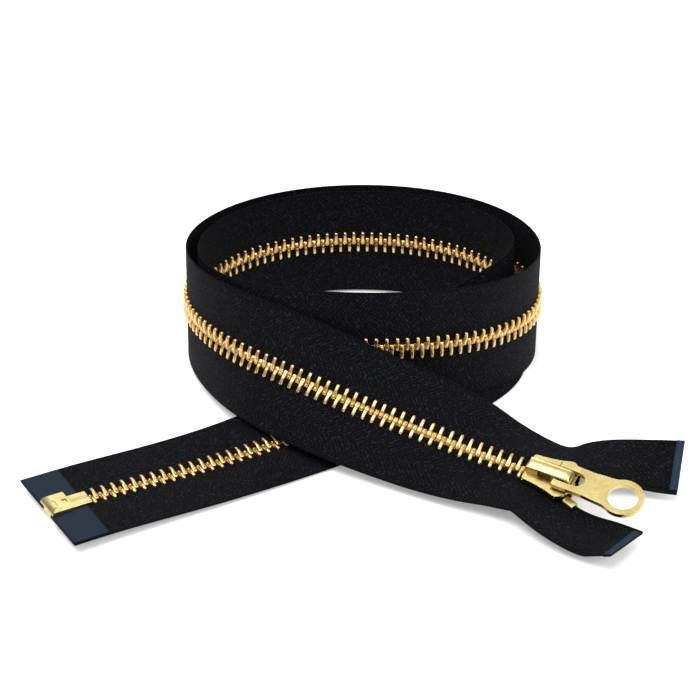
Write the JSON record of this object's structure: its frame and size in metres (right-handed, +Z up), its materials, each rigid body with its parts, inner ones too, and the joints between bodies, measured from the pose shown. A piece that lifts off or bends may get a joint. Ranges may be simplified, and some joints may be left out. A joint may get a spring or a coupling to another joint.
{
  "type": "open-end metal zipper",
  "caption": "Open-end metal-tooth zipper, closed and laid in a standing coil, with a box-and-pin lower end and a slider with a ringed pull tab.",
  "frame": {"origin": "centre of the footprint, at the lowest point of the whole laid-down zipper", "axes": "+X to the right along the longest overall extent, from the retainer box end to the slider end; +Y away from the two crossed ends, towards the coil; +Z up"},
  "size_m": [0.1556, 0.1356, 0.0351],
  "materials": {
    "tape": "black herringbone-woven cotton and polyester tape, matt",
    "teeth": "polished golden brass",
    "fittings": "pale golden brass, satin",
    "slider": "pale golden brass, satin with polished edges",
    "film": "thin blue-grey film pressed into the weave"
  },
  "bodies": {
    "chain": {"tape_left": "tape", "tape_right": "tape", "bead_left": "tape", "bead_right": "tape", "teeth_left_1": "teeth", "teeth_left_2": "teeth", "teeth_left_3": "teeth", "teeth_left_4": "teeth", "teeth_left_5": "teeth", "teeth_left_6": "teeth", "teeth_left_7": "teeth", "teeth_left_8": "teeth", "teeth_right_1": "teeth", "teeth_right_2": "teeth", "teeth_right_3": "teeth", "teeth_right_4": "teeth", "teeth_right_5": "teeth", "teeth_right_6": "teeth", "teeth_right_7": "teeth", "teeth_right_8": "teeth", "insertion_pin": "fittings", "retainer_pin": "fittings", "retainer_box": "fittings", "film_left": "film", "film_right": "film", "top_seal_left": "film", "top_seal_right": "film", "top_stop_left": "fittings", "top_stop_right": "fittings"},
    "slider": {"slider_body": "slider", "slider_crown": "slider"},
    "lock": {"lock_pawl": "slider"},
    "tab": {"pull_tab": "slider"}
  },
  "joints": [
    {"name": "slider_run", "type": "slide", "parent": "chain", "child": "slider", "axis": [0.8575, -0.511, -0.0596], "range_m": [-0.0006, 0]},
    {"name": "lock_lift", "type": "slide", "parent": "slider", "child": "lock", "axis": [-0.1166, -0.3059, 0.9449], "range_m": [0, 0.0003], "stiffness_N_per_m": 300},
    {"name": "tab_swing", "type": "hinge", "parent": "slider", "child": "tab", "pos_m": [0.04703, -0.04036, 0.00808], "axis": [-0.501, -0.8033, -0.3219], "range_deg": [0, 150]}
  ]
}
